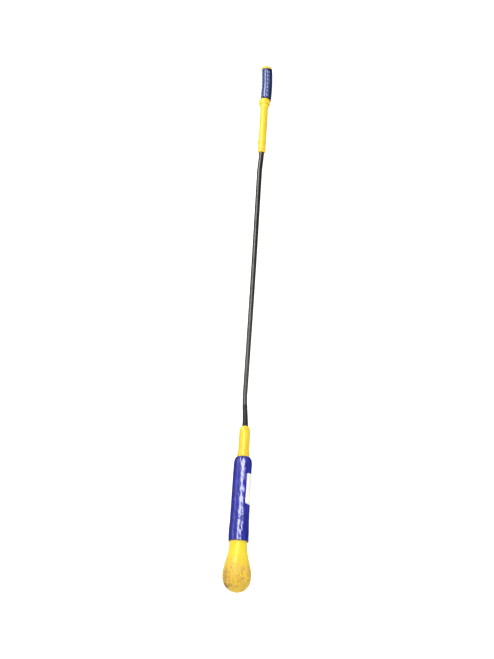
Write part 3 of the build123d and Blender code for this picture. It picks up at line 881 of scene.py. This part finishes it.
def blue_rubber():
    """Grip rubber: a fine pebble, painted shade in the grooves and along the foot, and painted highlights on the
    high places.
    """
    s = Shader("blue_rubber")
    tone = s.band(s.noise(9 * MM, 2, detail=5), 0.3, 0.7)
    colour = s.mix(tone, (0.006, 0.011, 0.050), (0.010, 0.017, 0.075))
    smooth = s.band(s.stood_out(), -0.10 * MM, 0.10 * MM)
    colour = s.mix(smooth, colour, (0.013, 0.022, 0.11))
    # Painted highlights: the dashes and other high places are coloured pale blue, as if lit.
    high = s.band(s.stood_out(), 0.18 * MM, 0.30 * MM)
    colour = s.mix(high, colour, (0.34, 0.40, 0.72))
    # Painted shade: the grooves are coloured darker.
    hollow = s.band(s.stood_out(), -0.15 * MM, -0.50 * MM)
    colour = s.mix(hollow, colour, (0.004, 0.006, 0.030))
    # Dirt: darker patches here and there.
    darkening = s.times(s.band(s.noise(3 * MM, 3, detail=5), 0.55, 0.75), 0.30)
    colour = s.mix(darkening, colour, (0.010, 0.014, 0.050))
    # Painted shade: a dark line along the grip's foot, in the gap against the collar, where the rubber is also
    # rougher.
    foot = reach("grip_sleeve")[0]
    foot_shade = s.band(s.axis("Y"), foot + 4 * MM, foot + 2 * MM)
    colour = s.mix(foot_shade, colour, (0.020, 0.007, 0.008))
    roughness = s.band(s.noise(6 * MM, 3, detail=4), 0.3, 0.7, 0.38, 0.46)
    roughness = s.plus(roughness, s.times(smooth, -0.10))
    roughness = s.plus(roughness, s.times(foot_shade, 0.45))
    return s.paint(
        colour, roughness, s.noise(0.35 * MM, detail=2), 0.02 * MM,
        IOR=1.8, Specular_IOR_Level=1.0, Specular_Tint=(0.55, 0.65, 1.0, 1.0),
    )


def black_bar():
    """Glass-fibre bar: fibres drawn along it under a gloss that is worn away near the boot, where it is also
    paler, partly from dust and partly as a painted sheen.
    """
    s = Shader("black_bar")
    fibres = s.noise(0.35 * MM, 60, detail=3)
    colour = s.mix(s.band(fibres, 0.4, 0.7), (0.010, 0.008, 0.006), (0.030, 0.026, 0.020))
    # Paler near the boot: partly dust, partly a painted stand-in for a broad grey sheen.
    worn = s.band(s.axis("Y"), tube_start - 120 * MM, ferrule_end + 80 * MM)
    colour = s.mix(s.times(worn, 0.5), colour, (0.070, 0.066, 0.060))
    rubs = s.times(s.band(s.noise(1.6 * MM, 18, detail=5), 0.55, 0.72), 0.35)
    colour = s.mix(rubs, colour, (0.11, 0.105, 0.09))
    patches = s.band(s.noise(3 * MM, 14, detail=4), 0.3, 0.7, 0.20, 0.36)
    roughness = s.plus(patches, s.times(worn, 0.16))
    return s.paint(colour, roughness, fibres, 0.03 * MM, Specular_IOR_Level=0.85)


def rubber(name, dark, light, on_stick=True):
    """Plain moulded rubber with a fine grain and a dusty bloom."""
    s = Shader(name, on_stick)
    colour = s.mix(s.band(s.noise(5 * MM, detail=5), 0.45, 0.7), dark, light)
    roughness = s.band(s.noise(3 * MM, detail=4), 0.3, 0.7, 0.5, 0.72)
    return s.paint(colour, roughness, s.noise(0.3 * MM, detail=2), 0.04 * MM)


def metal(name, bright, stain, smooth, rough, shine=0.9):
    """Turned metal: fine tool marks round it and blotches of tarnish."""
    s = Shader(name, on_stick=False)
    tarnish = s.band(s.noise(3 * MM, detail=6), 0.48, 0.68)
    colour = s.mix(tarnish, bright, stain)
    roughness = s.band(tarnish, 0, 1, smooth, rough)
    return s.paint(colour, roughness, s.noise(6 * MM, 0.02, detail=3), 0.02 * MM, Metallic=shine)


def sticker_paper():
    """Blank coated paper: slight yellowing, a few faint stains, and painted shade that turns it tan towards its
    lower long edge.
    """
    s = Shader("sticker_paper")
    yellowing = s.band(s.noise(16 * MM, 2, detail=4), 0.35, 0.7)
    colour = s.mix(yellowing, (1.0, 0.99, 0.92), (0.96, 0.94, 0.82))
    start, end = reach("sleeve_label")
    low = s.band(s.axis("Y"), start + 0.35 * (end - start), start)
    stains = s.times(s.band(s.noise(2.4 * MM, 1.5, detail=5), 0.60, 0.70), low)
    colour = s.mix(s.times(stains, 0.6), colour, (0.42, 0.30, 0.22))
    # Painted shade: tan towards the lower long edge, lower down the sleeve's side.
    edge = s.times(s.band(s.axis("Z"), 7 * MM, 1 * MM), 0.50)
    colour = s.mix(edge, colour, (0.86, 0.68, 0.50))
    roughness = s.band(s.noise(4 * MM, detail=3), 0.3, 0.7, 0.42, 0.6)
    return s.paint(colour, roughness, s.noise(1.2 * MM, 2, detail=5), 0.06 * MM)


def coat(objects, material):
    """Gives every object one material."""
    for item in objects:
        item.data.materials.clear()
        item.data.materials.append(material)


steel = metal("steel", (0.56, 0.55, 0.52), (0.20, 0.13, 0.08), 0.28, 0.6)
iron = metal("iron", (0.20, 0.19, 0.18), (0.16, 0.08, 0.04), 0.5, 0.8)
rusty = metal("rusty", (0.30, 0.16, 0.09), (0.14, 0.06, 0.035), 0.5, 0.8, 0.2)
dusty = metal("dusty", (0.66, 0.44, 0.10), (0.42, 0.25, 0.06), 0.5, 0.8, 0.1)
coat([head_bulb], bulb_vinyl())
coat([head_sleeve], blue_vinyl())
coat([head_ferrule, handle_tube], yellow_plastic("tube_yellow", 0.45))
coat([grip_collar, butt_cap], yellow_plastic("end_yellow", 0.7))
coat([grip], blue_rubber())
coat([sticker], sticker_paper())
coat(rod_lengths, black_bar())
coat([shaft_boot], rubber("boot_rubber", (0.010, 0.009, 0.008), (0.035, 0.032, 0.028)))
core = rubber("core_rubber", (0.03, 0.03, 0.03), (0.08, 0.075, 0.07), on_stick=False)
coat([nodes["bulb_core"], nodes["weight_pad"]], core)
coat([nodes[name] for name in ("barrel_tube", "core_stud", "rod_socket", "socket_pin")], steel)
coat([nodes["upper_rivets"], nodes["lower_rivets"]], steel)
coat([nodes["barrel_weight"]], iron)
coat([nodes["cross_pin"]], rusty)
coat([nodes["head_set_screw"], nodes["handle_set_screw"]], dusty)


# ---------------------------------------------------------------- floor, light and camera
FLOOR_HALF = 40.0


def make_floor():
    """A pale lit surface under the whole stick."""
    far = FLOOR_HALF
    low = min(cad_box[0][2], 0.0)
    points = [(-far, -far, low), (far, -far, low), (far, far, low), (-far, far, low)]
    mesh = bpy.data.meshes.new("floor")
    mesh.from_pydata(points, [], [(0, 1, 2, 3)])
    floor = bpy.data.objects.new("floor", mesh)
    bpy.context.scene.collection.objects.link(floor)
    s = Shader("pale_floor", on_stick=False)
    colour = s.mix(s.noise(300 * MM, detail=2), (0.50, 0.50, 0.50), (0.54, 0.54, 0.54))
    roughness = s.band(s.noise(90 * MM), 0.3, 0.7, 0.75, 0.9)
    s.paint(colour, roughness, Emission_Color=(1, 1, 1, 1), Emission_Strength=1.0)
    coat([floor], s.material)
    floor.visible_glossy = False


def softbox(name, centre, target, length, width, brightness, turn=0.0, mirrored=True, lit=True):
    """A lamp whose long side lies along the stick, turned by turn about the vertical.
    centre and target are in stick space. brightness is the radiance of its face. Glossy surfaces
    only mirror it if mirrored is true, and it only lights plain ones if lit is true."""
    lamp = bpy.data.lights.new(name, "AREA")
    lamp.shape = "RECTANGLE"
    lamp.size = width
    lamp.size_y = length
    lamp.energy = brightness * pi * width * length
    made = bpy.data.objects.new(name, lamp)
    bpy.context.scene.collection.objects.link(made)
    back = Vector(from_stick(np.array(centre)) - from_stick(np.array(target))).normalized()
    along = Matrix.Rotation(turn, 3, "Z") @ Vector(ALONG)
    along = (along - back * along.dot(back)).normalized()
    made.matrix_world = Matrix((along.cross(back), along, back)).transposed().to_4x4()
    made.location = from_stick(np.array(centre))
    made.visible_camera = False
    made.visible_glossy = mirrored
    made.visible_diffuse = lit


def make_world():
    """Pale room light: brightest low down, darker to the right, and dark below the floor."""
    world = bpy.data.worlds.new("room")
    bpy.context.scene.world = world
    world.use_nodes = True
    tree = world.node_tree
    direction = tree.nodes.new("ShaderNodeTexCoord").outputs["Generated"]
    split = tree.nodes.new("ShaderNodeSeparateXYZ")
    tree.links.new(direction, split.inputs[0])

    def step(axis, start, end, low, high):
        shade = tree.nodes.new("ShaderNodeMapRange")
        for key, value in (("From Min", start), ("From Max", end), ("To Min", low), ("To Max", high)):
            shade.inputs[key].default_value = value
        tree.links.new(split.outputs[axis], shade.inputs["Value"])
        return shade.outputs[0]

    def times(one, other):
        product = tree.nodes.new("ShaderNodeMath")
        product.operation = "MULTIPLY"
        tree.links.new(one, product.inputs[0])
        tree.links.new(other, product.inputs[1])
        return product.outputs[0]

    across = step("X", -1, 1, 0.30, 0.06)
    upwards = times(step("Z", 0, 1, 1.0, 0.75), step("Z", -0.06, 0.04, 0.2, 1.0))
    tree.links.new(times(across, upwards), tree.nodes["Background"].inputs["Strength"])
    tree.nodes["Background"].inputs["Color"].default_value = (1, 1, 1, 1)


CAMERA_BACK = 0.5137  # how far the camera stands beyond the bulb's tip
CAMERA_HEIGHT = 2.952
CAMERA_PITCH = radians(20)
CAMERA_ROLL = radians(3.435)
CAMERA_YAW = radians(0.153)
CAMERA_LENS = 80.58


def make_camera():
    """Above and beyond the bulb's end, looking up the stick."""
    data = bpy.data.cameras.new("camera")
    data.lens = CAMERA_LENS
    camera = bpy.data.objects.new("camera", data)
    bpy.context.scene.collection.objects.link(camera)
    aim = Matrix((SIDEWAYS, ALONG, UPWARD)).transposed()
    turn = Matrix.Rotation(CAMERA_PITCH, 3, "X")
    roll = Matrix.Rotation(CAMERA_ROLL, 3, "Z")
    yaw = Matrix.Rotation(CAMERA_YAW, 3, "Y")
    camera.matrix_world = (aim @ turn @ roll @ yaw).to_4x4()
    camera.location = from_stick(np.array((0.0, -CAMERA_BACK, CAMERA_HEIGHT)))
    bpy.context.scene.camera = camera


make_floor()
make_world()
softbox(
    "key", (-0.45, 1.10, 1.25), (-0.15, 0.90, 0),
    length=2.4, width=0.45, brightness=8.4, turn=radians(35),
)
softbox(
    "left", (-1.25, 0.50, 0.55), (0, 0.50, 0),
    length=1.8, width=0.10, brightness=3.2,
)
softbox(
    "reflector", (-1.25, 2.05, 1.15), (0, 1.17, 0),
    length=0.6, width=0.6, brightness=3.6, lit=False,
)
softbox(
    "right", (1.30, 0.50, 0.90), (0, 0.50, 0),
    length=2.4, width=0.80, brightness=1.15, mirrored=False,
)
softbox(
    "front", (0.15, -1.50, 0.90), (0, 0.05, 0),
    length=0.9, width=0.9, brightness=3.4, mirrored=False,
)
make_camera()
bpy.context.scene.view_settings.view_transform = "Standard"
